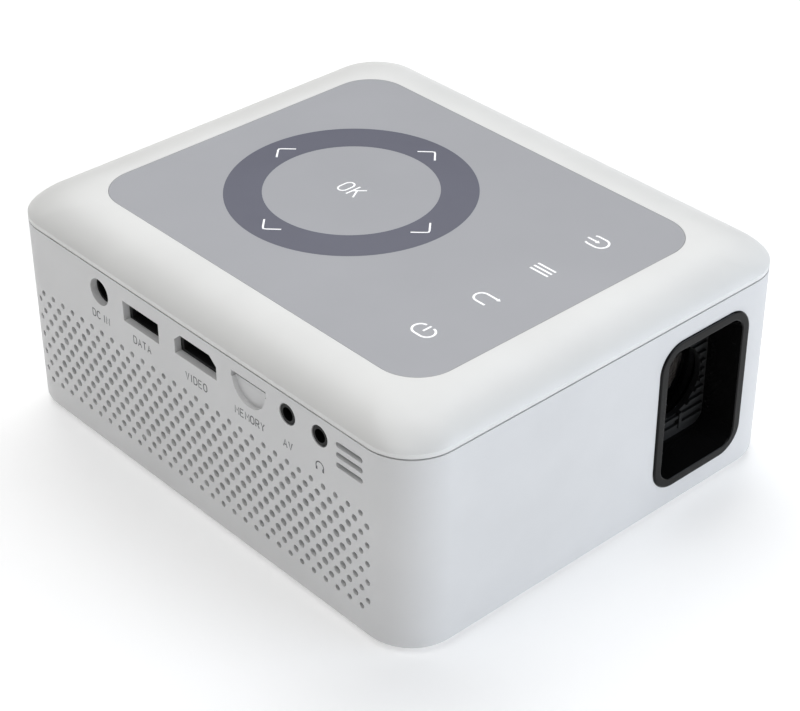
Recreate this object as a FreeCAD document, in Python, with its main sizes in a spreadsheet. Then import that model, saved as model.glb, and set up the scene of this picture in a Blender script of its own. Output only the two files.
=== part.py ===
"""Home projector: a parametric assembly of separate pieces, in millimetres, +Z up.

The origin is on the surface the projector stands on, under the middle of its body.
The lens looks along -Y and the sockets are in the -X side.
"""
import FreeCAD, Part
import math
import os
import re

import Sketcher
from FreeCAD import Placement, Rotation, Vector

DIMENSIONS = {
    # body
    "body_width": 131.3, "body_depth": 156.0, "base_height": 1.5, "parting_height": 57.1,
    "seam_gap": 0.25, "lip_height": 58.8, "top_height": 64.6, "corner_radius": 13.5, "bottom_round": 1.2,
    "wall": 2.0, "cover_ceiling": 60.4, "cover_rim": 6.5, "dome_start": 18.0,
    # touch panel
    "panel_width": 98.8, "panel_depth": 125.0, "panel_corner": 11.5, "panel_thickness": 1.5,
    # lens and light path
    "axis_across": 34.05, "axis_height": 30.0, "bezel_width": 33.0, "bezel_tall": 44.2,
    "bezel_corner": 7.5, "bezel_proud": 0.5, "bezel_rim": 2.75, "funnel_depth": 10.0,
    "funnel_wall": 1.5, "funnel_draft": 2.1, "barrel_radius": 14.0, "barrel_bore": 12.25,
    "holder_radius": 15.8, "running_gap": 0.05, "engine_side": 50.0, "engine_wall": 2.0,
    "fan_side": 40.0, "fan_front": 65.2,
    # gear teeth of the focus drive
    "gear_module": 0.8, "ring_teeth": 44, "wheel_teeth": 16,
    # sockets
    "socket_plane": -63.6, "board_top": 46.3, "board_thickness": 1.6,
    # vent holes
    "hole_pitch": 4.37, "row_pitch": 2.77, "field_centre": 1.4, "field_height": 23.9,
    # tilt foot
    "foot_across": 0.0, "foot_along": -60.0, "foot_rest_gap": 0.4,
}

doc = FreeCAD.newDocument("HomeProjector")
sheet = doc.addObject("Spreadsheet::Sheet", "Dims")
for row, (alias, value) in enumerate(DIMENSIONS.items(), start=1):
    sheet.set(f"A{row}", str(value))
    sheet.setAlias(f"A{row}", alias)
doc.recompute()

nodes = []


def dim(alias):
    """A driving dimension read from the sheet."""
    return float(sheet.get(alias))


def bind(thing, prop, formula):
    """Bind a property to a formula of sheet aliases."""
    text = re.sub(r"[a-z]+(?:_[a-z]+)+|wall", lambda word: "Dims." + word.group(), str(formula))
    thing.setExpression(prop, text)


def place(thing, corner):
    for letter, formula in zip("xyz", corner):
        bind(thing, f".Placement.Base.{letter}", formula)


def box(name, size, corner):
    """A box from formulas of its size and of its low corner."""
    thing = doc.addObject("Part::Box", name)
    for prop, formula in zip(("Length", "Width", "Height"), size):
        bind(thing, prop, formula)
    place(thing, corner)
    return thing


TURNS = {"z": Rotation(), "x": Rotation(Vector(0, 1, 0), 90), "y": Rotation(Vector(1, 0, 0), -90)}


def rod(name, radius, length, start, along="z"):
    """A cylinder along +X, +Y or +Z from its start point."""
    thing = doc.addObject("Part::Cylinder", name)
    thing.Placement = Placement(Vector(), TURNS[along])
    bind(thing, "Radius", radius)
    bind(thing, "Height", length)
    place(thing, start)
    return thing


def cone(name, radius_start, radius_end, length, start, along="z"):
    thing = doc.addObject("Part::Cone", name)
    thing.Placement = Placement(Vector(), TURNS[along])
    bind(thing, "Radius1", radius_start)
    bind(thing, "Radius2", radius_end)
    bind(thing, "Height", length)
    place(thing, start)
    return thing


def fuse(name, things):
    thing = doc.addObject("Part::MultiFuse", name)
    thing.Shapes = things
    return thing


def cut(name, base, tools):
    tool = tools[0] if len(tools) == 1 else fuse(name + "_tools", tools)
    thing = doc.addObject("Part::Cut", name)
    thing.Base = base
    thing.Tool = tool
    return thing


def group(name, things):
    """Identical separate solids kept as one node."""
    thing = doc.addObject("Part::Compound", name)
    thing.Links = things
    return thing


def solid(name, shape):
    """A piece whose outline is worked out in code."""
    thing = doc.addObject("Part::Feature", name)
    thing.Shape = shape
    return thing


def node(thing, label):
    thing.Label = label
    nodes.append(thing)
    return thing


def plane_of(body, role):
    return next(feature for feature in body.Origin.OriginFeatures if feature.Role == role)


def rounded_sketch(body, name, height, edges, corner, role="XY_Plane"):
    """A rounded rectangle given by formulas of its left, right, low and high edges."""
    sketch = body.newObject("Sketcher::SketchObject", name)
    sketch.AttachmentSupport = [(plane_of(body, role), "")]
    sketch.MapMode = "FlatFace"
    bind(sketch, ".AttachmentOffset.Base.z", height)
    points = [(-8, -10), (8, -10), (10, -8), (10, 8), (8, 10), (-8, 10), (-10, 8), (-10, -8)]
    centres = [(8, -8), (8, 8), (-8, 8), (-8, -8)]
    for side in range(4):
        start, end = points[2 * side], points[2 * side + 1]
        sketch.addGeometry(Part.LineSegment(Vector(*start, 0), Vector(*end, 0)))
    for side, centre in enumerate(centres):
        circle = Part.Circle(Vector(*centre, 0), Vector(0, 0, 1), 2)
        first = math.radians(-90 + 90 * side)
        sketch.addGeometry(Part.ArcOfCircle(circle, first, first + math.pi / 2))
    for side in range(4):
        sketch.addConstraint(Sketcher.Constraint("Tangent", side, 2, 4 + side, 1))
        sketch.addConstraint(Sketcher.Constraint("Tangent", 4 + side, 2, (side + 1) % 4, 1))
    for line, direction in enumerate(("Horizontal", "Vertical", "Horizontal", "Vertical")):
        sketch.addConstraint(Sketcher.Constraint(direction, line))
    for arc in (5, 6, 7):
        sketch.addConstraint(Sketcher.Constraint("Equal", 4, arc))
    left, right, low, high = edges
    limits = (("DistanceX", 3, -10, left), ("DistanceX", 1, 10, right),
              ("DistanceY", 0, -10, low), ("DistanceY", 2, 10, high))
    for kind, line, value, formula in limits:
        index = sketch.addConstraint(Sketcher.Constraint(kind, -1, 1, line, 1, value))
        bind(sketch, f"Constraints[{index}]", formula)
    index = sketch.addConstraint(Sketcher.Constraint("Radius", 4, 2))
    bind(sketch, f"Constraints[{index}]", corner)
    return sketch


def centred(half_across, half_along, across="0", along="0"):
    """Edge formulas of a rectangle about a centre."""
    return (f"{across} - ({half_across})", f"{across} + {half_across}",
            f"{along} - ({half_along})", f"{along} + {half_along}")


def prism(name, height, length, edges, corner, role="XY_Plane", fillet=None):
    """A body padded from a rounded rectangle, with an optional edge round at its start."""
    body = doc.addObject("PartDesign::Body", name)
    sketch = rounded_sketch(body, name + "_outline", height, edges, corner, role)
    pad = body.newObject("PartDesign::Pad", name + "_pad")
    pad.Profile = sketch
    bind(pad, "Length", length)
    if fillet:
        doc.recompute()
        low = min(face.CenterOfMass.z for face in pad.Shape.Faces)
        rim = [f"Edge{i}" for i, edge in enumerate(pad.Shape.Edges, 1)
               if abs(edge.BoundBox.ZMax - low) < 1e-4]
        round_edge = body.newObject("PartDesign::Fillet", name + "_round")
        round_edge.Base = (pad, rim)
        bind(round_edge, "Radius", fillet)
        body.Tip = round_edge
    return body


def loft_body(name, sections, role="XY_Plane", ruled=False):
    """A body lofted through rounded rectangles: (height, edges, corner) each."""
    body = doc.addObject("PartDesign::Body", name)
    sketches = [rounded_sketch(body, f"{name}_{i}", *section, role)
                for i, section in enumerate(sections)]
    loft = body.newObject("PartDesign::AdditiveLoft", name + "_loft")
    loft.Profile = sketches[0]
    loft.Sections = sketches[1:]
    loft.Ruled = ruled
    return body


# ---------------------------------------------------------------- outer shells

HALF_BODY = ("body_width / 2", "body_depth / 2")


def vent_field():
    """Eleven staggered rows of round holes, smaller towards the edge of the field."""
    pitch, row_pitch = dim("hole_pitch"), dim("row_pitch")
    radii = (0.83, 0.95, 1.08)
    holes = []
    for row in range(11):
        count = 30 if row % 2 == 0 else 31
        for column in range(count):
            along = dim("field_centre") + (column - (count - 1) / 2) * pitch
            height = dim("field_height") + (row - 5) * row_pitch
            depth = min(row, 10 - row, column, count - 1 - column, 2)
            start = Vector(-dim("body_width") / 2 - 1, along, height)
            holes.append(Part.makeCylinder(radii[depth], 6, start, Vector(1, 0, 0)))
    return solid("vent_field", Part.makeCompound(holes))


def round_slot(name, start, length, tall, depth, side="x"):
    """A round-ended slot cutter along Y, through an X wall."""
    shape = Part.makeBox(depth, length - tall, tall, Vector(start[0], start[1] + tall / 2, start[2]))
    for end in (start[1] + tall / 2, start[1] + length - tall / 2):
        centre = Vector(start[0], end, start[2] + tall / 2)
        shape = shape.fuse(Part.makeCylinder(tall / 2, depth, centre, Vector(1, 0, 0)))
    return solid(name, shape.removeSplitter())


def socket_cutters():
    """Cut-outs for the sockets in the -X wall, along Y from the rear to the front."""
    outside = -dim("body_width") / 2 - 1
    depth = 4.5
    video = [(-9.9, 47.7), (6.6, 47.7), (6.6, 51.7), (4.1, 53.9), (-7.4, 53.9), (-9.9, 51.7)]
    corners = [Vector(outside, *point) for point in video]
    video_face = Part.Face(Part.makePolygon(corners + corners[:1]))
    scoop_depth = 2.3
    scoop = Part.makeCylinder(6.1, scoop_depth, Vector(outside, -22.25, 52.4), Vector(1, 0, 0))
    below = Part.makeBox(scoop_depth, 14, 7, Vector(outside, -29.25, 45.4))
    slots = [round_slot(f"sensor_slot_{i}", (outside, -63.0, centre - 0.78), 9.2, 1.56, depth)
             for i, centre in enumerate((47.1, 50.0, 52.9))]
    return [
        rod("dc_hole", 3.78, depth, (outside, 38.0, 50.55), "x"),
        box("data_hole", (depth, 14.7, 5.9), (outside, 13.1, 46.9)),
        solid("video_hole", video_face.extrude(Vector(depth, 0, 0))),
        box("card_hole", (depth, 13.1, 1.8), (outside, -28.8, 52.25)),
        solid("card_scoop", scoop.common(below)),
        rod("av_hole", 2.85, depth, (outside, -36.6, 51.9), "x"),
        rod("phones_hole", 2.85, depth, (outside, -48.1, 51.9), "x"),
    ] + slots


def hidden_vents():
    """Exhaust slots in the rear wall, intake slots in the floor and the focus wheel's slot."""
    half_depth = dim("body_depth") / 2
    rear = [box(f"rear_slot_{i}", (44, 4, 2.2), ("axis_across - 22", half_depth - 3, 10 + 4.4 * i))
            for i in range(10)]
    floor = [box(f"floor_slot_{i}", (1.8, 30, 4), (-40.0 + 4 * i, 31, 0.5)) for i in range(9)]
    wheel = box("wheel_slot", (4, 9, 13), ("body_width / 2 - 3", -53.5, 23.5))
    return rear + floor + [wheel]


def lower_housing():
    outer = prism("housing_outer", "base_height", "parting_height - base_height",
                  centred(*HALF_BODY), "corner_radius", fillet="bottom_round")
    inner = prism("housing_cavity", "base_height + wall", "parting_height",
                  centred("body_width / 2 - wall", "body_depth / 2 - wall"), "corner_radius - wall")
    bezel_hole = prism("bezel_hole", 60, 20,
                       centred("bezel_width / 2 - 1.25", "bezel_tall / 2 - 1.25",
                               "axis_across", "axis_height"), "bezel_corner - 1.25", "XZ_Plane")
    tripod = rod("tripod_hole", 4.5, 10, (0, 0, 0))
    foot = rod("foot_hole", 4.5, 10, ("foot_across", "foot_along", 0))
    foot_recess = rod("foot_recess", 7.5, 3.9, ("foot_across", "foot_along", 0))
    openings = [bezel_hole, tripod, foot, foot_recess, vent_field()]
    openings += socket_cutters() + hidden_vents()
    posts = [rod(f"case_post_{i}", 3.5, 52.0, (x, y, 3.1)) for i, (x, y) in enumerate(CASE_POSTS)]
    posts += [rod(f"board_post_{i}", 3.0, 41.6, (x, y, 3.1)) for i, (x, y) in enumerate(BOARD_POSTS)]
    bosses = [rod("tripod_boss", 6.5, 5.5, (0, 0, 3.5)),
              rod("foot_boss", 9.5, 2.0, ("foot_across", "foot_along", 3.5))]
    bores = [rod(f"case_head_bore_{i}", 2.6, 48, (x, y, 0)) for i, (x, y) in enumerate(CASE_POSTS)]
    bores += [rod(f"case_screw_bore_{i}", 1.05, 20, (x, y, 40)) for i, (x, y) in enumerate(CASE_POSTS)]
    bores += [rod(f"board_screw_bore_{i}", 0.9, 8, (x, y, 38)) for i, (x, y) in enumerate(BOARD_POSTS)]
    bores += [rod(f"fan_screw_bore_{i}", 1.0, 4, (x, 75, z), "y") for i, (x, z) in enumerate(FAN_SCREWS)]
    hollow_shell = cut("housing_walls", outer, [inner])
    solid_parts = fuse("housing_solid", [hollow_shell] + posts + bosses)
    return node(cut("housing", solid_parts, openings + bores), "lower_housing")


CASE_POSTS = [(-54, 67.5), (-54, -67.5), (0, 70), (54, -67.5)]
BOARD_POSTS = [(-56, 54), (-18, 20), (-48, -57), (-18, -57)]
FAN_SCREWS = [(x, z) for x in (18.05, 50.05) for z in (14.0, 46.0)]
ENGINE_SCREWS = [(x, z) for x in (14.0, 54.0) for z in (10.0, 50.0)]


def dome_sections(steps=7):
    """The pillow's edge is part of an ellipse: it leaves the lip at a crease and ends level at the panel."""
    sections = []
    start = math.radians(dim("dome_start"))
    for step in range(steps):
        angle = start + (math.pi / 2 - start) * step / (steps - 1)
        inward = f"{1 - math.cos(angle) / math.cos(start):.6f}"
        rise = f"{(math.sin(angle) - math.sin(start)) / (1 - math.sin(start)):.6f}"
        half_across = f"body_width / 2 - (body_width - panel_width) / 2 * {inward}"
        half_along = f"body_depth / 2 - (body_depth - panel_depth) / 2 * {inward}"
        corner = f"corner_radius - (corner_radius - panel_corner) * {inward}"
        height = f"lip_height + (top_height - lip_height) * {rise}"
        sections.append((height, centred(half_across, half_along), corner))
    return sections


def top_cover():
    dome = loft_body("cover_dome", dome_sections())
    lip = prism("cover_lip", "parting_height + seam_gap", "lip_height - parting_height - seam_gap",
                centred(*HALF_BODY), "corner_radius")
    hollow = prism("cover_hollow", "parting_height - 3", "cover_ceiling - parting_height + 3",
                   centred("body_width / 2 - cover_rim", "body_depth / 2 - cover_rim"),
                   "corner_radius - cover_rim")
    seat = prism("panel_seat", "top_height - panel_thickness", 5,
                 centred("panel_width / 2", "panel_depth / 2"), "panel_corner")
    tongue = prism("cover_tongue", "parting_height - 1.5", 3,
                   centred("body_width / 2 - wall - 0.1", "body_depth / 2 - wall - 0.1"),
                   "corner_radius - wall - 0.1")
    posts = [rod(f"cover_post_{i}", 3.5, 5.2, (x, y, 55.2)) for i, (x, y) in enumerate(CASE_POSTS)]
    rim = cut("cover_shell", fuse("cover_solid", [dome, lip, tongue]), [seat, hollow])
    bores = [rod(f"cover_bore_{i}", 1.0, 4, (x, y, 54)) for i, (x, y) in enumerate(CASE_POSTS)]
    return node(cut("cover", fuse("cover_with_posts", [rim] + posts), bores), "top_cover")


def touch_panel():
    panel = prism("panel", "top_height - panel_thickness", "panel_thickness",
                  centred("panel_width / 2 - 0.1", "panel_depth / 2 - 0.1"), "panel_corner - 0.1")
    return node(panel, "touch_panel")


# ---------------------------------------------------------------- lens

BAFFLE_FRONT = "-(body_depth / 2) - bezel_proud + funnel_depth"
LENS_ACROSS, LENS_HEIGHT = "axis_across", "axis_height"


def on_axis(along):
    return (LENS_ACROSS, along, LENS_HEIGHT)


def lens_bezel():
    """A rim that stands a little proud, then a tapering funnel through the front wall."""
    front = "body_depth / 2 + bezel_proud"
    rim = prism("bezel_rim_block", "body_depth / 2", "bezel_proud",
                centred("bezel_width / 2", "bezel_tall / 2", LENS_ACROSS, LENS_HEIGHT),
                "bezel_corner", "XZ_Plane")
    sleeve = prism("bezel_sleeve", f"{front} - funnel_depth", "funnel_depth",
                   centred("bezel_width / 2 - 1.3", "bezel_tall / 2 - 1.3", LENS_ACROSS, LENS_HEIGHT),
                   "bezel_corner - 1.3", "XZ_Plane")
    mouth = (f"{front} + 0.001", centred("bezel_width / 2 - bezel_rim", "bezel_tall / 2 - bezel_rim",
                                         LENS_ACROSS, LENS_HEIGHT), "4.3")
    throat = (f"{front} - funnel_depth - 0.001",
              centred("bezel_width / 2 - bezel_rim - 0.8", "bezel_tall / 2 - bezel_rim - funnel_draft",
                      LENS_ACROSS, LENS_HEIGHT), "3.5")
    funnel = loft_body("bezel_funnel", [throat, mouth], "XZ_Plane", True)
    return node(cut("bezel", fuse("bezel_block", [rim, sleeve]), [funnel]), "lens_bezel")


def lens_baffle():
    """A plate with horizontal ribs and one upright, round the lens opening."""
    plate = box("baffle_plate", ("bezel_width - 2.6", 1.6, "bezel_tall - 2.6"),
                ("axis_across - bezel_width / 2 + 1.3", BAFFLE_FRONT, "axis_height - bezel_tall / 2 + 1.3"))
    ribs = [box(f"baffle_rib_{i}", ("23.6", 0.9, 0.9),
                ("axis_across - 11.8", f"{BAFFLE_FRONT} - 0.8", f"axis_height - 14.3 + 2.7 * {i}"))
            for i in range(11)]
    upright = box("baffle_upright", (1.0, 1.2, 29.4),
                  ("axis_across + 2.6", f"{BAFFLE_FRONT} - 1.1", "axis_height - 14.7"))
    hole = rod("baffle_hole", 10.5, 8, on_axis(f"{BAFFLE_FRONT} - 4"), "y")
    return node(cut("baffle", fuse("baffle_block", [plate, upright] + ribs), [hole]), "lens_baffle")


def lens_glass(name, radius, bulge, thickness, along):
    """A biconvex lens: two bulging faces and a short cylindrical edge, revolved about the axis."""
    near, far = -thickness / 2, thickness / 2
    sphere = (radius ** 2 + bulge ** 2) / (2 * bulge)
    half_way = radius / 2
    sag = bulge - sphere + math.sqrt(sphere ** 2 - half_way ** 2)
    near_face = Part.Arc(Vector(0, near - bulge, 0), Vector(half_way, near - sag, 0), Vector(radius, near, 0))
    far_face = Part.Arc(Vector(radius, far, 0), Vector(half_way, far + sag, 0), Vector(0, far + bulge, 0))
    edges = [near_face.toShape(), Part.makeLine(Vector(radius, near, 0), Vector(radius, far, 0)),
             far_face.toShape(), Part.makeLine(Vector(0, far + bulge, 0), Vector(0, near - bulge, 0))]
    shape = Part.Face(Part.Wire(edges)).revolve(Vector(), Vector(0, 1, 0), 360)
    shape.translate(Vector(dim("axis_across"), along, dim("axis_height")))
    return node(solid(name + "_glass", shape), name)


def lens_barrel():
    tube = rod("barrel_tube", "barrel_radius", 30, on_axis(-65.0), "y")
    bore = rod("barrel_hole", "barrel_bore - 1.5", 40, on_axis(-70.0), "y")
    front_seat = rod("barrel_front_seat", "barrel_bore", 8, on_axis(-66.0), "y")
    rear_seat = rod("barrel_rear_seat", "barrel_bore", 6, on_axis(-39.0), "y")
    return node(cut("barrel", tube, [bore, front_seat, rear_seat]), "lens_barrel")


def screw_holes(name, places, radius, depth, along):
    """Holes along +Y at (x, z) places."""
    return [rod(f"{name}_{i}", radius, depth, (x, along, z), "y") for i, (x, z) in enumerate(places)]


def lens_holder():
    """The fixed tube that the barrel slides in, with a screwed flange."""
    tube = rod("holder_tube", "holder_radius", 28, on_axis(-60.0), "y")
    collar = rod("holder_collar", 17.2, 4, on_axis(-45.6), "y")
    flange = box("holder_flange", ("engine_side - 4", 2.5, "engine_side - 4"),
                 ("axis_across - engine_side / 2 + 2", -32.5, "axis_height - engine_side / 2 + 2"))
    bore = rod("holder_bore", "barrel_radius + running_gap", 40, on_axis(-65.0), "y")
    holes = screw_holes("holder_hole", ENGINE_SCREWS, 1.0, 6, -34)
    return node(cut("holder", fuse("holder_block", [tube, collar, flange]), [bore] + holes), "lens_holder")


def gear_face(teeth, bore, twist=0.0):
    """A gear outline in the XZ plane with slim, tapered teeth."""
    module = dim("gear_module")
    pitch_radius = module * teeth / 2
    step = 2 * math.pi / teeth
    radii_and_angles = ((pitch_radius - 1.0, -0.26), (pitch_radius, -0.19), (pitch_radius + 0.65, -0.09),
                        (pitch_radius + 0.65, 0.09), (pitch_radius, 0.19), (pitch_radius - 1.0, 0.26))
    points = []
    for tooth in range(teeth):
        for radius, share in radii_and_angles:
            angle = twist + (tooth + share) * step
            points.append(Vector(radius * math.cos(angle), 0, radius * math.sin(angle)))
    outline = Part.Face(Part.makePolygon(points + points[:1]))
    return outline.cut(Part.Face(Part.Wire(Part.makeCircle(bore, Vector(), Vector(0, 1, 0)))))


WHEEL_ACROSS = DIMENSIONS["axis_across"] + DIMENSIONS["gear_module"] * 30


def focus_ring():
    ring = gear_face(int(dim("ring_teeth")), dim("holder_radius") + dim("running_gap"))
    shape = ring.extrude(Vector(0, 5.6, 0))
    piece = node(solid("focus_gear", shape), "focus_ring")
    piece.Placement = Placement(Vector(dim("axis_across"), -51.6, dim("axis_height")), Rotation())
    return piece


def focus_wheel():
    """The thumb wheel in the +X wall, half a tooth out of step with the ring so they mesh."""
    teeth = int(dim("wheel_teeth"))
    shape = gear_face(teeth, 1.0 + dim("running_gap"), math.pi + math.pi / teeth)
    piece = node(solid("focus_thumb_wheel", shape.extrude(Vector(0, 6.6, 0))), "focus_wheel")
    piece.Placement = Placement(Vector(WHEEL_ACROSS, -52.6, dim("axis_height")), Rotation())
    return piece


def wheel_mount():
    bracket = box("bracket_block", (5, 12.4, 31.5), (WHEEL_ACROSS - 2.5, -55.2, "base_height + wall"))
    gap = box("bracket_gap", (7, 7.8, 20), (WHEEL_ACROSS - 3.5, -52.9, 22.4))
    bore = rod("bracket_bore", 1.0, 20, (WHEEL_ACROSS, -60, LENS_HEIGHT), "y")
    node(cut("bracket", bracket, [gap, bore]), "wheel_bracket")
    node(rod("pin", 1.0, 12.4, (WHEEL_ACROSS, -55.2, LENS_HEIGHT), "y"), "wheel_pin")


# ---------------------------------------------------------------- light path

ENGINE_LEFT = "axis_across - engine_side / 2"
ENGINE_LOW = "axis_height - engine_side / 2"


def engine_plate(name, label, along, thickness, opening=None):
    """A square plate across the light path, between the engine's walls."""
    inset = "engine_wall"
    side = "engine_side - 2 * engine_wall"
    plate = box(name, (side, thickness, side), (f"{ENGINE_LEFT} + {inset}", along, f"{ENGINE_LOW} + {inset}"))
    if opening:
        across, tall = opening
        hole = box(name + "_opening", (across, thickness + 2, tall),
                   (f"axis_across - {across} / 2", along - 1, f"axis_height - {tall} / 2"))
        plate = cut(name + "_frame", plate, [hole])
    return node(plate, label)


def optical_housing():
    outer = box("engine_box", ("engine_side", 80, "engine_side"), (ENGINE_LEFT, -30, ENGINE_LOW))
    inner = box("engine_hollow", ("engine_side - 2 * engine_wall", 90, "engine_side - 2 * engine_wall"),
                (f"{ENGINE_LEFT} + engine_wall", -28, f"{ENGINE_LOW} + engine_wall"))
    port = rod("engine_port", "barrel_radius + running_gap", 10, on_axis(-34), "y")
    duct = box("engine_duct", (8, 8.5, 8), (f"{ENGINE_LEFT} - 3", 21.2, f"{ENGINE_LOW} + 4"))
    base = box("engine_base", (30, 30, "axis_height - engine_side / 2 - base_height - wall"),
               ("axis_across - 15", -5, "base_height + wall"))
    holes = screw_holes("engine_hole", ENGINE_SCREWS, 1.0, 4, -31)
    walls = cut("engine_walls", outer, [inner, port, duct] + holes)
    return node(fuse("engine", [walls, base]), "optical_housing")


def light_path():
    optical_housing()
    engine_plate("front_fresnel_plate", "fresnel_front", 5.0, 1.8)
    engine_plate("lcd_frame_plate", "lcd_frame", 9.0, 1.6, (42, 30))
    node(box("lcd_glass", (41.6, 1.4, 29.6), ("axis_across - 20.8", 9.1, "axis_height - 14.8")), "lcd_panel")
    engine_plate("rear_fresnel_plate", "fresnel_rear", 14.0, 1.8)
    engine_plate("heat_glass_plate", "heat_glass", 19.0, 1.1)
    cup = cone("reflector_cup", 22.8, 9.0, 18, on_axis(31.0), "y")
    cup_hollow = cone("reflector_hollow", 21.8, 8.0, 18, on_axis(31.0), "y")
    node(cut("reflector_shell", cup, [cup_hollow]), "reflector")
    lens_glass("condenser_lens", 20.0, 2.6, 1.4, 27.3)
    board_side = "engine_side - 2 * engine_wall"
    node(box("led_plate", (board_side, 1.5, board_side),
             (f"{ENGINE_LEFT} + engine_wall", 50.0, f"{ENGINE_LOW} + engine_wall")), "led_board")
    node(box("led_die", (14, 1.0, 14), ("axis_across - 7", 49.0, "axis_height - 7")), "led_chip")


# ---------------------------------------------------------------- cooling

def heatsink():
    base = box("heatsink_base", ("engine_side", 3, "engine_side"), (ENGINE_LEFT, 51.5, ENGINE_LOW))
    fins = [box(f"heatsink_fin_{i}", (1.2, 8.5, "engine_side"),
                (f"{ENGINE_LEFT} + 1 + {i} * 3.9", 54.5, ENGINE_LOW)) for i in range(13)]
    return node(fuse("heatsink_block", [base] + fins), "heatsink")


def rotor_shape(hub_radius, tip_radius, length, blades, blade_angle, bore):
    """A hub on +Z with flat blades set at an angle."""
    hub = Part.makeCylinder(hub_radius, length)
    shape = hub
    for index in range(blades):
        blade = Part.makeBox(tip_radius - hub_radius + 1.0, 1.0, length / math.cos(blade_angle) * 0.8)
        blade.translate(Vector(hub_radius - 1.0, -0.5, 0))
        blade.rotate(Vector(0, 0, length / 2 * 0.8), Vector(1, 0, 0), math.degrees(blade_angle))
        blade.rotate(Vector(), Vector(0, 0, 1), 360.0 * index / blades)
        shape = shape.fuse(blade)
    inside = Part.makeCylinder(tip_radius, length)
    return shape.common(inside).cut(Part.makeCylinder(bore, length))


def exhaust_fan():
    """A 40 mm axial fan behind the heatsink, blowing out of the rear slots."""
    frame = box("fan_block", ("fan_side", 10, "fan_side"),
                ("axis_across - fan_side / 2", "fan_front", "axis_height - fan_side / 2"))
    duct = rod("fan_duct", 18.8, 20, on_axis(60), "y")
    walls = cut("fan_walls", frame, [duct] + screw_holes("fan_hole", FAN_SCREWS, 1.0, 14, 64))
    motor = rod("fan_motor", 8.0, 1.5, on_axis("fan_front + 8.5"), "y")
    shaft = rod("fan_shaft", 1.0, 8.0, on_axis("fan_front + 0.8"), "y")
    struts = [box("fan_strut_across", (38.4, 1.5, 2),
                  ("axis_across - 19.2", "fan_front + 8.5", "axis_height - 1")),
              box("fan_strut_up", (2, 1.5, 38.4),
                  ("axis_across - 1", "fan_front + 8.5", "axis_height - 19.2"))]
    node(fuse("fan_frame", [walls, motor, shaft] + struts), "exhaust_fan_frame")
    rotor = node(solid("fan_rotor", rotor_shape(8.8, 18.2, 7.0, 7, 0.75, 1.0 + dim("running_gap"))),
                 "exhaust_fan_rotor")
    hub_start = Vector(dim("axis_across"), dim("fan_front") + 0.8, dim("axis_height"))
    rotor.Placement = Placement(hub_start, TURNS["y"])


BLOWER = (-24.0, 46.0)


def blower():
    """A flat blower on the floor over the intake slots, blowing at the display panel."""
    across, along = BLOWER
    block = box("blower_block", (40, 40, 13), (across - 20, along - 20, "base_height + wall"))
    chamber = rod("blower_chamber", 17.5, 10, (across, along, 5.0))
    intake = rod("blower_intake", 12, 20, (across, along, 0))
    throat = box("blower_throat", (21, 12, 8), (across, along - 17.5, 6.0))
    shell = cut("blower_shell", block, [chamber, intake, throat])
    cap = rod("blower_motor", 7.0, 1.5, (across, along, 15.0))
    shaft = rod("blower_shaft", 1.0, 9.0, (across, along, 6.5))
    bridge = box("blower_bridge", (39, 3, 1.5), (across - 19.5, along - 1.5, 15.0))
    node(fuse("blower_case", [shell, cap, shaft, bridge]), "blower_housing")
    hub = Part.makeCylinder(7.0, 7.5)
    disc = Part.makeCylinder(16.5, 0.8)
    wheel = hub.fuse(disc)
    for index in range(23):
        vane = Part.makeBox(5.5, 0.8, 7.5, Vector(10.9, -0.4, 0))
        vane.rotate(Vector(13.6, 0, 0), Vector(0, 0, 1), 35)
        vane.rotate(Vector(), Vector(0, 0, 1), 360.0 * index / 23)
        wheel = wheel.fuse(vane)
    wheel = wheel.cut(Part.makeCylinder(1.0 + dim("running_gap"), 8))
    rotor = node(solid("blower_wheel", wheel.common(Part.makeCylinder(16.8, 8))), "blower_rotor")
    rotor.Placement = Placement(Vector(across, along, 6.8), Rotation())


# ---------------------------------------------------------------- electronics and sockets

BOARD_LOW = "board_top - board_thickness"


def main_board():
    plate = box("board_plate", (47, 122, "board_thickness"), (-61.5, -62, BOARD_LOW))
    holes = [rod(f"board_hole_{i}", 1.2, 6, (x, y, "board_top - 4")) for i, (x, y) in enumerate(BOARD_POSTS)]
    node(cut("board", plate, holes), "main_board")
    chips = box("processor_die", (16, 16, 1.6), (-46, -12, "board_top"))
    node(chips, "main_chip")
    base = box("chip_sink_base", (20, 20, 1.5), (-48, -14, "board_top + 1.6"))
    fins = [box(f"chip_sink_fin_{i}", (20, 1.0, 4), (-48, -14 + 3.8 * i, "board_top + 3.1"))
            for i in range(6)]
    node(fuse("chip_sink", [base] + fins), "chip_heatsink")
    cans = [rod(f"can_{i}", 3.0, 7.0, (-24, y, "board_top")) for i, y in enumerate((20, 28, 36, 44))]
    node(group("cans", cans), "capacitors")
    plugs = [box(f"plug_{i}", (5, 9, 5), (-21, y, "board_top")) for i, y in enumerate((-50, -34, -18, 0))]
    node(group("plugs", plugs), "board_connectors")
    node(box("receiver", (5, 6, 6), (-60, -61, "board_top")), "ir_receiver")
    window = box("window_plate", (1.4, 10.6, 10), ("socket_plane + 0.05", -63.5, 45.2))
    node(window, "ir_window")


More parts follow.
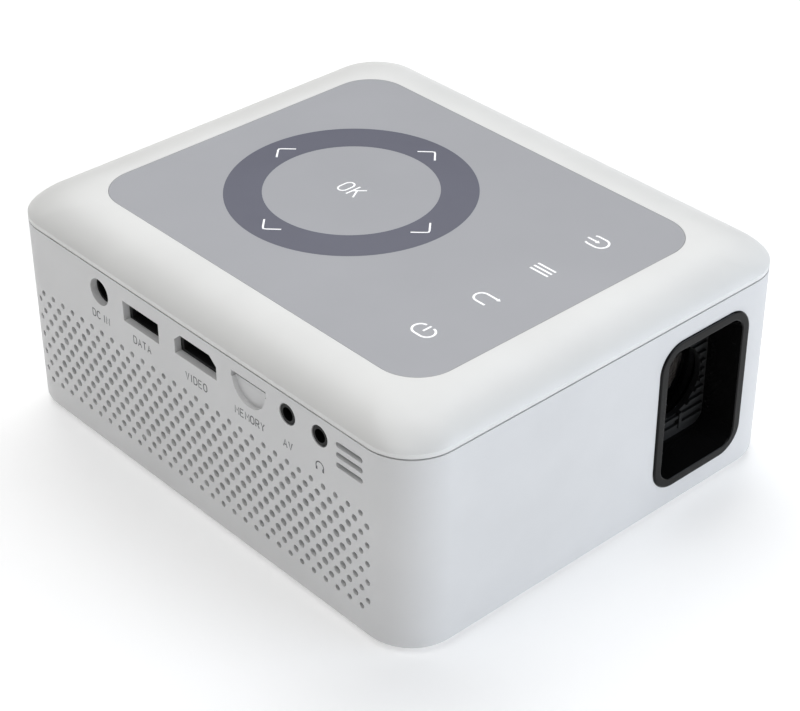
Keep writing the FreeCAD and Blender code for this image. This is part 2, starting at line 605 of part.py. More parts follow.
def socket_block(name, label, length, size, across_low, low, cavity, tongue=None):
    """A board socket: a block whose mouth faces -X, a cavity and an inner tongue."""
    width, tall = size
    block = box(name, (length, width, tall), ("socket_plane", across_low, low))
    gap_wide, gap_tall = cavity
    mouth = box(name + "_mouth", (length - 2, gap_wide, gap_tall),
                ("socket_plane - 0.5", across_low + (width - gap_wide) / 2, low + (tall - gap_tall) / 2))
    shell = cut(name + "_shell", block, [mouth])
    if tongue:
        tongue_wide, tongue_tall, lift = tongue
        blade = box(name + "_tongue", (length - 3.5, tongue_wide, tongue_tall),
                    ("socket_plane + 1.5", across_low + (width - tongue_wide) / 2, low + lift))
        shell = fuse(name + "_with_tongue", [shell, blade])
    return node(shell, label)


def sockets():
    socket_block("data", "data_socket", 13.5, (15.2, 6.2), 12.85, 46.75, (12.6, 5.1), (11.2, 1.9, 3.2))
    socket_block("video", "video_socket", 12.0, (16.0, 6.6), -9.65, 47.4, (14.2, 4.5), (11.5, 1.2, 2.6))
    socket_block("card", "card_socket", 14.5, (14.0, 3.0), -29.25, 51.6, (12.0, 1.2))
    for name, along in (("av", -36.6), ("phones", -48.1)):
        block = box(name + "_block", (13, 8.5, 7), ("socket_plane", along - 4.25, "51.9 - 3.5"))
        nose = rod(name + "_nose", 2.6, 2.0, ("socket_plane - 1.9", along, 51.9), "x")
        bore = rod(name + "_bore", 1.8, 12, ("socket_plane - 2", along, 51.9), "x")
        node(cut(name + "_socket", fuse(name + "_body", [block, nose]), [bore]), name + "_jack")
    block = box("dc_block", (12, 9.5, 8.4), ("socket_plane", "38.0 - 4.75", 46.35))
    bore = rod("dc_bore", 3.1, 9, ("socket_plane - 0.5", 38.0, 50.55), "x")
    pin = rod("dc_pin", 1.0, 10, ("socket_plane + 1", 38.0, 50.55), "x")
    node(fuse("dc_socket", [cut("dc_body", block, [bore]), pin]), "dc_jack")


def touch_board():
    plate = box("touch_plate", (90, 112, 1.2), (-45, -56, "cover_ceiling - 1.2"))
    return node(plate, "touch_board")


# ---------------------------------------------------------------- sound

def speaker():
    """A long speaker on edge behind the middle of the vent field."""
    low, middle = 9.0, 2.0
    frame = box("speaker_block", (9, 52, 25), (-61.6, middle - 26, low))
    dish = box("speaker_dish", (8.6, 44, 20), (-62.6, middle - 22, low + 2.5))
    node(cut("speaker_ring", frame, [dish]), "speaker_frame")
    cone_block = loft_body("speaker_dish_cone", [
        (-61.0, (f"{middle} - 20.6", f"{middle} + 20.6", f"{low + 3.3}", f"{low + 21.7}"), "8"),
        (-55.0, (f"{middle} - 6", f"{middle} + 6", f"{low + 6.5}", f"{low + 18.5}"), "5.5"),
    ], "YZ_Plane", True)
    node(cone_block, "speaker_cone")
    node(rod("magnet", 9.5, 8.0, (-52.6, middle, low + 12.5), "x"), "speaker_magnet")
    node(box("cloth", (0.6, 52, 25), (-62.3, middle - 26, low)), "speaker_cloth")


# ---------------------------------------------------------------- underside, leads and fasteners

def underside():
    feet = [rod(f"foot_{i}", 5.0, "base_height", (x, y, 0))
            for i, (x, y) in enumerate(((-50, 62), (50, 62), (-50, -62), (50, -62)))]
    node(group("feet", feet), "rubber_feet")
    insert = cut("insert", rod("insert_body", 4.5, 8.5, (0, 0, "base_height")),
                 [rod("insert_bore", 2.6, 12, (0, 0, 0))])
    node(insert, "tripod_insert")
    foot = ("foot_across", "foot_along")
    nut = cut("foot_nut", rod("foot_nut_body", 4.5, 11.6, (*foot, 3.9)),
              [rod("foot_nut_bore", "2.5 + running_gap", 20, (*foot, 0))])
    node(nut, "tilt_foot_nut")
    screw = rod("foot_screw", 2.5, 22, (*foot, 2.4))
    stem = fuse("foot_stem", [screw, rod("foot_grip", 6.4, 2.0, (*foot, "base_height"))])
    node(stem, "tilt_foot_stem")
    node(rod("foot_pad", 6.4, "base_height - foot_rest_gap", (*foot, "foot_rest_gap")), "tilt_foot_pad")


def flat_cable(name, label, route, width, thickness=0.4):
    """A flat cable along a route of points in the XZ plane, given as (x, z), at its own y."""
    along, points = route
    pieces = []
    for (x1, z1), (x2, z2) in zip(points, points[1:]):
        run = Vector(x2 - x1, 0, z2 - z1)
        side = Vector(-run.z, 0, run.x).normalize() * thickness
        start = Vector(x1, along, z1)
        corners = [start, start + run, start + run + side, start + side]
        pieces.append(Part.Face(Part.makePolygon(corners + corners[:1])).extrude(Vector(0, width, 0)))
    shape = pieces[0].fuse(pieces[1:]) if len(pieces) > 1 else pieces[0]
    return node(solid(name, shape.removeSplitter()), label)


def leads():
    flat_cable("panel_ribbon", "panel_flat_cable", (-48, [(-18.5, 51.6), (-18.5, 59.0)]), 6)
    flat_cable("lcd_ribbon", "lcd_flat_cable", (-15, [(-15.9, 48.0), (-7, 48.0), (8.9, 48.0)]), 8)
    along_board = rod("fan_lead_along", 0.8, 56.0, (-18.5, 9.0, 48.8), "y")
    across = rod("fan_lead_across", 0.8, 35.0, (-18.5, 64.2, 48.8), "x")
    into_frame = rod("fan_lead_end", 0.8, 1.8, (16.0, 63.4, 48.8), "y")
    node(fuse("fan_lead_pair", [along_board, across, into_frame]), "fan_leads")


def screws(label, heads, head_radius, head_height, shank_radius, shank_length, along="z", way=1):
    """Screws with the head's low end at each place; the shank follows it (1) or precedes it (-1)."""
    step = {"z": (0, 0, 1), "y": (0, 1, 0)}[along]
    shift = head_height if way > 0 else -shank_length
    pieces = []
    for index, start in enumerate(heads):
        shank_start = tuple(value + shift * direction for value, direction in zip(start, step))
        head = rod(f"{label}_head_{index}", head_radius, head_height, start, along)
        shank = rod(f"{label}_shank_{index}", shank_radius, shank_length, shank_start, along)
        pieces.append(fuse(f"{label}_{index}", [head, shank]))
    return node(group(label + "_set", pieces), label)


def fasteners():
    screws("case_screws", [(x, y, 46.0) for x, y in CASE_POSTS], 2.4, 2.0, 1.0, 9.5)
    screws("board_screws", [(x, y, 46.3) for x, y in BOARD_POSTS], 2.2, 1.4, 0.9, 7.0, way=-1)
    screws("engine_screws", [(x, -34.1, z) for x, z in ENGINE_SCREWS], 2.4, 1.6, 1.0, 4.0, "y")
    screws("fan_screws", [(x, 63.6, z) for x, z in FAN_SCREWS], 2.2, 1.6, 1.0, 12.0, "y")


lower_housing()
top_cover()
touch_panel()
lens_bezel()
lens_baffle()
lens_barrel()
lens_glass("front_lens", dim("barrel_bore"), 1.4, 2.6, -62.1)
lens_glass("rear_lens", dim("barrel_bore"), 1.2, 2.0, -37.0)
lens_holder()
focus_ring()
focus_wheel()
wheel_mount()
light_path()
heatsink()
exhaust_fan()
blower()
main_board()
sockets()
touch_board()
speaker()
underside()
leads()
fasteners()
doc.recompute()

for thing in doc.Objects:
    if "Invalid" in thing.State or "Error" in thing.State:
        raise RuntimeError(f"{thing.Name} ({thing.Label}) failed: {thing.State}")

os.makedirs("parts", exist_ok=True)
for piece in nodes:
    shape = piece.Shape
    if shape.isNull() or not shape.isValid() or shape.Volume < 1:
        raise RuntimeError(f"{piece.Label} has no valid shape")
    shape.exportStep(f"parts/{piece.Label}.step")
    limits = shape.BoundBox
    print(f"{piece.Label:20s} {len(shape.Solids):3d} solids {shape.Volume:10.1f} mm3  "
          f"x {limits.XMin:7.2f} {limits.XMax:7.2f}  y {limits.YMin:7.2f} {limits.YMax:7.2f}  "
          f"z {limits.ZMin:6.2f} {limits.ZMax:6.2f}")
print(len(nodes), "nodes")
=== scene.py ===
# %% [markdown]
# A home projector: looks around a fixed frame
#
# The frame holds every part of the projector at its real size, in metres. This lesson gives
# those parts their finishes, and builds finer meshes for the few whose outline the eye follows.

import math

import bmesh
import bpy
from mathutils import Euler, Matrix, Vector


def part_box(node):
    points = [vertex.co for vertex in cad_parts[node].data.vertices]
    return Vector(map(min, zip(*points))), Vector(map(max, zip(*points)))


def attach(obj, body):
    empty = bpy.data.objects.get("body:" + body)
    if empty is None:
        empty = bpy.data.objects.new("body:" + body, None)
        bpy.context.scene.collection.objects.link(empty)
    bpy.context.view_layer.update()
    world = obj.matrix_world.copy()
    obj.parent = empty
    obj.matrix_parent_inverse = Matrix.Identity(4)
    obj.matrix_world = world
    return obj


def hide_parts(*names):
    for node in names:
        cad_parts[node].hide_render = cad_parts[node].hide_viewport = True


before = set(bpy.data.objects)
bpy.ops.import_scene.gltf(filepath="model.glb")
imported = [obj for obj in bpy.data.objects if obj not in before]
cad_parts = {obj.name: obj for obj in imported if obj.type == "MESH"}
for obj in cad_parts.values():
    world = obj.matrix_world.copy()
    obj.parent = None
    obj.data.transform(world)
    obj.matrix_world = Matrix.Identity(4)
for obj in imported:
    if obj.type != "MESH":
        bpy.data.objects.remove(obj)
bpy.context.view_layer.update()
MM = 0.001

# %% [markdown]
# Places come from the frame. The body's outline, the touch panel and the lens all have boxes
# there, so their middles and half sizes are read instead of being typed again.

# %% Read the places that the finer pieces need
def box_of(node):
    low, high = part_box(node)
    return Vector(low), Vector(high)


shell_low, shell_high = box_of("lower_housing")
panel_low, panel_high = box_of("touch_panel")
bezel_low, bezel_high = box_of("lens_bezel")
barrel_low, barrel_high = box_of("lens_barrel")
HALF_X = (shell_high.x - shell_low.x) / 2
HALF_Y = (shell_high.y - shell_low.y) / 2
TOP = panel_high.z
LENS = (barrel_low + barrel_high) / 2
print("body half sizes in mm:", round(HALF_X / MM, 2), round(HALF_Y / MM, 2), "top", round(TOP / MM, 2))

# %% [markdown]
# The camera looks down on the corner between the socket side and the lens side through a
# long lens, so the sides converge only a little. Its turn comes from two angles.

# %% Camera
CAMERA_AZIMUTH, CAMERA_ELEVATION, CAMERA_ROLL = -42.109, 34.091, 0.216
camera_data = bpy.data.cameras.new("camera")
camera_data.sensor_width = 36.0
camera_data.lens = 96.21
camera_data.clip_start = 0.01
camera = bpy.data.objects.new("camera", camera_data)
bpy.context.scene.collection.objects.link(camera)
camera.location = (-0.31616, -0.35281, TOP + 0.27614)
azimuth, elevation = math.radians(CAMERA_AZIMUTH), math.radians(CAMERA_ELEVATION)
look = Euler((math.pi / 2 - elevation, 0, azimuth)).to_matrix()
camera.rotation_euler = (look @ Matrix.Rotation(math.radians(-CAMERA_ROLL), 3, "Z")).to_euler()
bpy.context.scene.camera = camera
print("camera at", tuple(round(v, 3) for v in camera.location))

# %% [markdown]
# A white sweep and large soft lamps are what a product studio uses. The big lamp sits high on
# the far right and a smaller one high on the left, which lights the lid's near edge. So the lid
# is brightest, the lens side is next and the socket side stays in shade.

# %% Floor and lights
def area_light(name, place, aim, size, power, color=(1, 1, 1)):
    data = bpy.data.lights.new(name, "AREA")
    data.shape = "RECTANGLE"
    data.size, data.size_y = size
    data.energy = power
    data.color = color
    lamp = bpy.data.objects.new(name, data)
    lamp.location = place
    lamp.rotation_euler = (Vector(aim) - Vector(place)).to_track_quat("-Z", "Y").to_euler()
    bpy.context.scene.collection.objects.link(lamp)
    return lamp


BODY_MIDDLE = (0, 0, 0.03)
area_light("softbox_over", (0.40, 0.45, 0.90), BODY_MIDDLE, (1.0, 1.0), 8.2)
area_light("softbox_lens_side", (0.55, -1.05, 0.35), BODY_MIDDLE, (0.9, 0.7), 6.8, (0.81, 0.89, 1.0))
area_light("softbox_top_left", (-0.45, -0.15, 1.05), BODY_MIDDLE, (0.7, 0.7), 3.8)
world = bpy.data.worlds.new("studio_white")
world.use_nodes = True
world.node_tree.nodes["Background"].inputs["Color"].default_value = (1, 1, 1, 1)
world.node_tree.nodes["Background"].inputs["Strength"].default_value = 0.08
bpy.context.scene.world = world
bpy.context.scene.view_settings.view_transform = "Standard"

# %% [markdown]
# Two small helpers carry every material. One turns a hex colour, as a painter's chart gives
# it, into the linear numbers a shader wants. The other adds a node with settings and links.

# %% Material helpers
def linear(hex_color):
    channels = [int(hex_color[i:i + 2], 16) / 255 for i in (1, 3, 5)]
    return tuple(c / 12.92 if c <= 0.04045 else ((c + 0.055) / 1.055) ** 2.4 for c in channels) + (1.0,)


def add(material, kind, settings=None, **links):
    """Adds a node; settings are properties or socket values, links are socket=output."""
    tree = material.node_tree
    node = tree.nodes.new(kind)
    for key, value in (settings or {}).items():
        if key in node.inputs.keys():
            node.inputs[key].default_value = value
        else:
            setattr(node, key, value)
    for key, output in links.items():
        tree.links.new(output, node.inputs[key.replace("_", " ")])
    return node


def surface(name, **values):
    """A new material and its main shader, with plain values on the shader's own sockets."""
    material = bpy.data.materials.new(name)
    material.use_nodes = True
    shader = material.node_tree.nodes["Principled BSDF"]
    for key, value in values.items():
        shader.inputs[key.replace("_", " ")].default_value = value
    return material, shader


def vary_color(material, shader, dark, light, size_mm, detail=3.0):
    """Two close colours mixed by a noise whose lumps are size_mm across."""
    place = add(material, "ShaderNodeTexCoord")
    noise = add(material, "ShaderNodeTexNoise", {"Scale": 1 / (size_mm * MM), "Detail": detail},
                Vector=place.outputs["Object"])
    ramp = add(material, "ShaderNodeValToRGB", Fac=noise.outputs["Fac"])
    ramp.color_ramp.elements[0].position, ramp.color_ramp.elements[1].position = 0.3, 0.7
    ramp.color_ramp.elements[0].color, ramp.color_ramp.elements[1].color = linear(dark), linear(light)
    material.node_tree.links.new(ramp.outputs["Color"], shader.inputs["Base Color"])
    return place


def grain(material, shader, place, size_mm, height_mm, spread=(0.45, 0.6)):
    """Fine moulded texture: bump and a little roughness change from one noise."""
    noise = add(material, "ShaderNodeTexNoise", {"Scale": 1 / (size_mm * MM), "Detail": 2.0},
                Vector=place.outputs["Object"])
    bump = add(material, "ShaderNodeBump", {"Distance": height_mm * MM, "Strength": 0.5},
               Height=noise.outputs["Fac"])
    rough = add(material, "ShaderNodeMapRange", {"To Min": spread[0], "To Max": spread[1]},
                Value=noise.outputs["Fac"])
    material.node_tree.links.new(bump.outputs["Normal"], shader.inputs["Normal"])
    material.node_tree.links.new(rough.outputs["Result"], shader.inputs["Roughness"])


# %% [markdown]
# Moulded ABS for the shells. The tool's cavity was spark-eroded, which leaves a satin grain a
# few tenths of a millimetre across. The eye sees it as a soft, even highlight, never a mirror.
# The grain is drawn at 0.5 mm, coarser than life, so that it shows at all at this distance.
# The polished black reflects less than real plastic would, or the white floor would grey it.

# %% Shell plastics
def moulded(name, dark, light, size_mm, grain_mm, height_mm, spread, **values):
    material, shader = surface(name, **values)
    place = vary_color(material, shader, dark, light, size_mm)
    grain(material, shader, place, grain_mm, height_mm, spread)
    return material


# The lid's copy of the same white plastic is painted a shade lighter than the body's: painted light on the
# top.
lid_white_painted_lighter = moulded("white_satin_abs_lid_painted_lighter", "#ECECEA", "#F1F1EF", 22, 0.5, 0.004, (0.36, 0.44), IOR=1.53)
white_body = moulded("white_satin_abs_body", "#E0E0E0", "#E5E5E5", 22, 0.5, 0.005, (0.42, 0.52), IOR=1.53)
black_gloss = moulded("black_polished_abs", "#0D0D0D", "#121212", 12, 0.8, 0.001, (0.12, 0.18), IOR=1.54,
                      Specular_IOR_Level=0.12)
black_matte = moulded("black_moulded_nylon", "#101011", "#1A1A1B", 5, 0.35, 0.012, (0.5, 0.68), IOR=1.53)
baffle_black = moulded("black_flocked_baffle", "#040404", "#080808", 4, 0.3, 0.02, (0.6, 0.8), IOR=1.5)
wheel_grey = moulded("grey_knurled_abs", "#3A3B3E", "#48494C", 3, 0.3, 0.01, (0.5, 0.65), IOR=1.53)
rubber = moulded("black_rubber", "#141414", "#1F1F1E", 3, 0.25, 0.02, (0.7, 0.85), IOR=1.5)
plug_white = moulded("ivory_nylon_plug", "#DAD5C6", "#E4E0D4", 3, 0.3, 0.006, (0.45, 0.55), IOR=1.53)
polariser = moulded("dark_polariser_film", "#090A0D", "#0E0F13", 10, 0.8, 0.001, (0.15, 0.22), IOR=1.5)
sensor_dark = moulded("smoked_acrylic", "#55565A", "#626368", 6, 0.8, 0.001, (0.2, 0.3), IOR=1.49)
print("plastics:", len(bpy.data.materials))

# %% [markdown]
# The white marks carry a faint painted glow: an emission that brightens them beyond what the lamps give.
# The touch panel is a sheet of acrylic, printed grey on its back and finished satin on its
# front. The print's depth shows as the faintest mottle, and the front keeps a soft sheen.

# %% Panel and inks
panel_grey = moulded("grey_satin_acrylic", "#A6A7AC", "#ABACB1", 40, 0.6, 0.0015, (0.34, 0.40), IOR=1.49)
ring_ink = moulded("blue_grey_ink", "#4D4F62", "#535568", 30, 0.6, 0.001, (0.36, 0.42), IOR=1.49)
# Its emission is a painted glow that lifts the white marks; the ink is no lamp.
white_ink_painted_glow = moulded("white_ink_with_painted_glow", "#F6F6F8", "#FFFFFF", 8, 0.4, 0.001, (0.45, 0.55), IOR=1.49,
                    Emission_Color=(1, 1, 1, 1), Emission_Strength=0.25)
label_ink = moulded("grey_pad_ink", "#565759", "#5E5F62", 2, 0.3, 0.002, (0.5, 0.6), IOR=1.5)

# %% [markdown]
# Metals. Zinc-plated steel is rolled or turned, so its roughness runs in fine uneven patches.
# Extruded aluminium is drawn through a die and keeps long streaks; brass is turned.

# %% Metals and electronics
steel = moulded("zinc_plated_steel", "#A9AAAC", "#C2C3C6", 2, 0.2, 0.003, (0.24, 0.38), Metallic=1.0)
aluminium = moulded("extruded_aluminium", "#B8B9BB", "#CDCED0", 3, 0.25, 0.004, (0.3, 0.45), Metallic=1.0)
brass = moulded("turned_brass", "#B08D4C", "#C9A561", 2, 0.2, 0.003, (0.22, 0.36), Metallic=1.0)
mask_green = moulded("green_solder_mask", "#0B4A28", "#12603A", 4, 0.5, 0.006, (0.3, 0.45), IOR=1.5)
phosphor = moulded("yellow_phosphor", "#D9B52C", "#E8C947", 1, 0.2, 0.01, (0.55, 0.7), IOR=1.5)
ribbon = moulded("grey_polyester_ribbon", "#B5B6B8", "#C6C7C9", 2, 0.3, 0.002, (0.35, 0.45), IOR=1.57)

# %% [markdown]
# Optical glass with a thin anti-reflection coat: clear, very smooth, and a faint violet sheen
# at a slant. The coat is a quarter-wave film on the shader, so no colour is painted by view.

# %% Glass and cloth
def optical_glass(name, tint, rough, **values):
    material, shader = surface(name, Transmission_Weight=1.0, Roughness=rough, IOR=1.52, **values)
    vary_color(material, shader, tint, "#F2F6FA", 18)
    return material


COAT_NANOMETRES = 105.0
coated_glass = optical_glass("coated_lens_glass", "#B4C0D6", 0.02,
                             Thin_Film_Thickness=COAT_NANOMETRES, Thin_Film_IOR=1.38)
plain_glass = optical_glass("plain_plate_glass", "#E6F0EE", 0.04)

cloth, cloth_shader = surface("beige_speaker_cloth", Roughness=0.85, Sheen_Weight=0.3)
cloth_place = vary_color(cloth, cloth_shader, "#9C8664", "#B09A78", 2)
cloth_weave = add(cloth, "ShaderNodeTexWave", {"Scale": 1 / (6.0 * MM), "bands_direction": "DIAGONAL"},
                  Vector=cloth_place.outputs["Object"])
cloth_bump = add(cloth, "ShaderNodeBump", {"Distance": 0.00008}, Height=cloth_weave.outputs["Fac"])
cloth.node_tree.links.new(cloth_bump.outputs["Normal"], cloth_shader.inputs["Normal"])
print("materials:", len(bpy.data.materials))

# %% [markdown]
# Most visible outlines here are rounded rectangles that change size along an axis: the lid's
# pillow and the lens funnel. One way is to bevel a box, but its corners stay circular in
# section. Stacked rings, bridged by faces, give the exact swell of each edge instead.

# %% Stack rounded-rectangle rings into a closed mesh
CORNER_STEPS = 20


def ring(half_u, half_v, corner, level):
    """Points of one rounded rectangle, anticlockwise, at a level."""
    points = []
    for quarter, (su, sv) in enumerate(((1, 1), (-1, 1), (-1, -1), (1, -1))):
        for step in range(CORNER_STEPS + 1):
            angle = math.pi / 2 * (quarter + step / CORNER_STEPS)
            points.append(Vector((su * (half_u - corner) + corner * math.cos(angle),
                                  sv * (half_v - corner) + corner * math.sin(angle), level)))
    return points


def flat_normals(mesh, sharp_degrees=30):
    """Smooth shading that keeps crisp edges and leaves large flat faces flat."""
    mesh.shade_smooth()
    mesh.set_sharp_from_angle(angle=math.radians(sharp_degrees))
    return mesh


def finished(name, mesh, material, body, replaced=()):
    """Weights the normals by face size, then rides the plain mesh on its body."""
    flat_normals(mesh)
    draft = bpy.data.objects.new(name + "_draft", mesh)
    bpy.context.scene.collection.objects.link(draft)
    weighting = draft.modifiers.new("weighted", "WEIGHTED_NORMAL")
    weighting.keep_sharp = True
    depsgraph = bpy.context.evaluated_depsgraph_get()
    plain = bpy.data.meshes.new_from_object(draft.evaluated_get(depsgraph))
    bpy.data.objects.remove(draft)
    piece = bpy.data.objects.new(name, plain)
    bpy.context.scene.collection.objects.link(piece)
    plain.materials.clear()
    plain.materials.append(material)
    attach(piece, body)
    if replaced:
        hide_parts(*replaced)
    print(name, len(plain.polygons), "faces")
    return piece


def bridged(name, rings, closed=False):
    """A mesh of bridged rings, capped at both ends, or joined end to start when closed."""
    mesh = bpy.data.meshes.new(name)
    work = bmesh.new()
    rows = [[work.verts.new(point) for point in points] for points in rings]
    pairs = list(zip(rows, rows[1:])) + ([(rows[-1], rows[0])] if closed else [])
    for below, above in pairs:
        for i in range(len(below)):
            j = (i + 1) % len(below)
            work.faces.new((below[i], below[j], above[j], above[i]))
    if not closed:
        work.faces.new(rows[0][::-1])
        work.faces.new(rows[-1])
    bmesh.ops.recalc_face_normals(work, faces=work.faces)
    work.to_mesh(mesh)
    work.free()
    return mesh


# %% [markdown]
# The lid is a shallow pillow. Its edge is part of an ellipse: it leaves the upright lip at a
# faint crease and is level where it meets the touch panel. A thin gap parts it from the body.

# %% Lid
CORNER = 13.5 * MM
PANEL_CORNER = 11.5 * MM
LIP_RISE = 1.7 * MM
SEAM_GAP = 0.25 * MM
DOME_START = math.radians(18)
LID_WALL = 6.5 * MM
TONGUE_INSET = 2.1 * MM
TONGUE_DROP = 1.5 * MM
EDGE_BREAK = 0.3 * MM
seam = shell_high.z
lip = seam + LIP_RISE
seat_x, seat_y = panel_high.x + 0.1 * MM, panel_high.y + 0.1 * MM


def lid_ring_at(inset, level):
    return ring(HALF_X - inset, HALF_Y - inset, CORNER - inset, level)


lid_rings = [lid_ring_at(LID_WALL, lip + 2 * MM),
             lid_ring_at(LID_WALL, seam - TONGUE_DROP),
             lid_ring_at(TONGUE_INSET, seam - TONGUE_DROP),
             lid_ring_at(TONGUE_INSET, seam + SEAM_GAP),
             lid_ring_at(EDGE_BREAK, seam + SEAM_GAP),
             lid_ring_at(0, seam + SEAM_GAP + 0.25 * MM)]
DOME_STEPS = 22
for step in range(DOME_STEPS + 1):
    turn = DOME_START + (math.pi / 2 - DOME_START) * step / DOME_STEPS
    inward = 1 - math.cos(turn) / math.cos(DOME_START)
    rise = (math.sin(turn) - math.sin(DOME_START)) / (1 - math.sin(DOME_START))
    lid_rings.append(ring(HALF_X - (HALF_X - seat_x) * inward, HALF_Y - (HALF_Y - seat_y) * inward,
                          CORNER - (CORNER - PANEL_CORNER) * inward, lip + (TOP - lip) * rise))
lid_rings.append(ring(seat_x, seat_y, PANEL_CORNER, panel_low.z))
finished("lid", bridged("lid", lid_rings), lid_white_painted_lighter, "casing", ["top_cover"])

# %% [markdown]
# The body's shape is already right, holes and all, but the frame's mesh is loose triangles.
# A merged copy shades smoothly round the corners and stays crisp at every hole.

# %% Body shell and other merged copies
def merged_copy(node, name, material, body="casing"):
    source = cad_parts[node]
    mesh = source.data.copy()
    work = bmesh.new()
    work.from_mesh(mesh)
    bmesh.ops.remove_doubles(work, verts=work.verts, dist=2e-7)
    work.to_mesh(mesh)
    work.free()
    for layer in list(mesh.attributes):
        if layer.name == "custom_normal":
            mesh.attributes.remove(layer)
    return finished(name, mesh, material, body, [node])


merged_copy("lower_housing", "body_shell", white_body)

# %% [markdown]
# The lens bezel is polished black plastic. Its rim stands half a millimetre proud with a
# rounded shoulder that catches a thin highlight, then falls into a funnel whose floor rises.

# %% Lens bezel
def facing_front(points, level_is_y):
    """Turns rings drawn in (across, up, level) so that their level runs along Y."""
    return [Vector((LENS.x + p.x, level_is_y, LENS.z + p.y)) for p in points]


bezel_half_x = (bezel_high.x - bezel_low.x) / 2
bezel_half_z = (bezel_high.z - bezel_low.z) / 2
RIM = 2.75 * MM
FUNNEL_LIFT = 2.1 * MM
SHOULDER = 0.5 * MM
front, back = bezel_low.y, bezel_high.y


def bezel_ring(inset, corner, level, lift=0.0):
    return facing_front(ring(bezel_half_x - inset, bezel_half_z - inset - lift, corner, 0), level)


bezel_rings = [bezel_ring(1.3 * MM, 6.2 * MM, back), bezel_ring(1.3 * MM, 6.2 * MM, front + SHOULDER),
               bezel_ring(0, 7.5 * MM, front + SHOULDER)]
for step in range(1, 7):
    turn = math.pi / 2 * step / 6
    inset = SHOULDER * 1.3 * (1 - math.cos(turn))
    bezel_rings.append(bezel_ring(inset, 7.5 * MM - inset, front + SHOULDER * (1 - math.sin(turn))))
bezel_rings.append(bezel_ring(RIM - 0.35 * MM, 4.5 * MM, front))
for step in range(1, 5):
    turn = math.pi / 2 * step / 4
    inset = RIM - 0.35 * MM * (1 - math.sin(turn))
    bezel_rings.append(bezel_ring(inset, 4.3 * MM, front + 0.35 * MM * (1 - math.cos(turn))))
bezel_rings.append(bezel_ring(RIM + 0.8 * MM, 3.5 * MM, back, FUNNEL_LIFT - 0.8 * MM))
finished("bezel_moulding", bridged("bezel", bezel_rings, True), black_gloss, "casing",
         ["lens_bezel"])

# %% [markdown]
# Stray light inside a lens barrel is killed by fine threads. Turning each one by hand would
# be slow, so a Geometry Nodes tree repeats one ring along the axis at a stated pitch.

# %% Stray-light threads in the barrel
def group_input(tree, name, kind, value):
    socket = tree.interface.new_socket(name, in_out="INPUT", socket_type=kind)
    socket.default_value = value
    return socket.identifier


def baked(tree, inputs, name):
    """Evaluates a tree on an empty mesh, with its inputs set, and returns the plain mesh that it makes."""
    holder = bpy.data.objects.new(name, bpy.data.meshes.new(name))
    bpy.context.scene.collection.objects.link(holder)
    maker = holder.modifiers.new("maker", "NODES")
    maker.node_group = tree
    for identifier, value in inputs.items():
        maker[identifier] = value
    depsgraph = bpy.context.evaluated_depsgraph_get()
    mesh = bpy.data.meshes.new_from_object(holder.evaluated_get(depsgraph))
    bpy.data.objects.remove(holder)
    return mesh


def repeat_tree(name, maker, count, step, material):
    """Count copies of what maker(tree) outputs, each a step further on."""
    tree = bpy.data.node_groups.new(name, "GeometryNodeTree")
    settings = {group_input(tree, "Count", "NodeSocketInt", count): count,
                group_input(tree, "Step", "NodeSocketVector", step): step}
    tree.interface.new_socket("Geometry", in_out="OUTPUT", socket_type="NodeSocketGeometry")
    inputs, output = tree.nodes.new("NodeGroupInput"), tree.nodes.new("NodeGroupOutput")
    line = tree.nodes.new("GeometryNodeMeshLine")
    tree.links.new(inputs.outputs["Count"], line.inputs["Count"])
    tree.links.new(inputs.outputs["Step"], line.inputs["Offset"])
    instances = tree.nodes.new("GeometryNodeInstanceOnPoints")
    tree.links.new(line.outputs["Mesh"], instances.inputs["Points"])
    tree.links.new(maker(tree), instances.inputs["Instance"])
    real = tree.nodes.new("GeometryNodeRealizeInstances")
    tree.links.new(instances.outputs["Instances"], real.inputs["Geometry"])
    paint = tree.nodes.new("GeometryNodeSetMaterial")
    paint.inputs["Material"].default_value = material
    tree.links.new(real.outputs["Geometry"], paint.inputs["Geometry"])
    tree.links.new(paint.outputs["Geometry"], output.inputs["Geometry"])
    return tree, settings


def thread_ring(tree):
    """A thin torus: a circle swept round a circle, lying across the Y axis."""
    path = tree.nodes.new("GeometryNodeCurvePrimitiveCircle")
    path.inputs["Radius"].default_value = 10.55 * MM
    path.inputs["Resolution"].default_value = 72
    section = tree.nodes.new("GeometryNodeCurvePrimitiveCircle")
    section.inputs["Radius"].default_value = 0.19 * MM
    section.inputs["Resolution"].default_value = 8
    sweep = tree.nodes.new("GeometryNodeCurveToMesh")
    tree.links.new(path.outputs["Curve"], sweep.inputs["Curve"])
    tree.links.new(section.outputs["Curve"], sweep.inputs["Profile Curve"])
    turn = tree.nodes.new("GeometryNodeTransform")
    turn.inputs["Rotation"].default_value = (math.pi / 2, 0, 0)
    tree.links.new(sweep.outputs["Mesh"], turn.inputs["Geometry"])
    return turn.outputs["Geometry"]


THREAD_PITCH = 1.1 * MM
THREAD_COUNT = 15
FIRST_THREAD = 9 * MM
tree, settings = repeat_tree("barrel_threads", thread_ring, THREAD_COUNT, (0, THREAD_PITCH, 0), black_matte)
threads = baked(tree, settings, "threads")
print("thread faces:", len(threads.polygons))
threads.transform(Matrix.Translation((LENS.x, barrel_low.y + FIRST_THREAD, LENS.z)))
finished("barrel_threads", threads, black_matte, "barrel")

# %% [markdown]
# Printed marks are a few hundredths of a millimetre of ink. They are drawn as strokes of a
# constant width, like a pen plotter's, swept as round tubes and pressed flat on the surface.

# %% Pen strokes pressed flat
INK_RISE = 0.02 * MM


def oval(center, radius, start, end, steps=14):
    """Points along an oval, between two angles in degrees."""
    angles = [math.radians(start + (end - start) * i / steps) for i in range(steps + 1)]
    return [(center[0] + radius[0] * math.cos(a), center[1] + radius[1] * math.sin(a)) for a in angles]


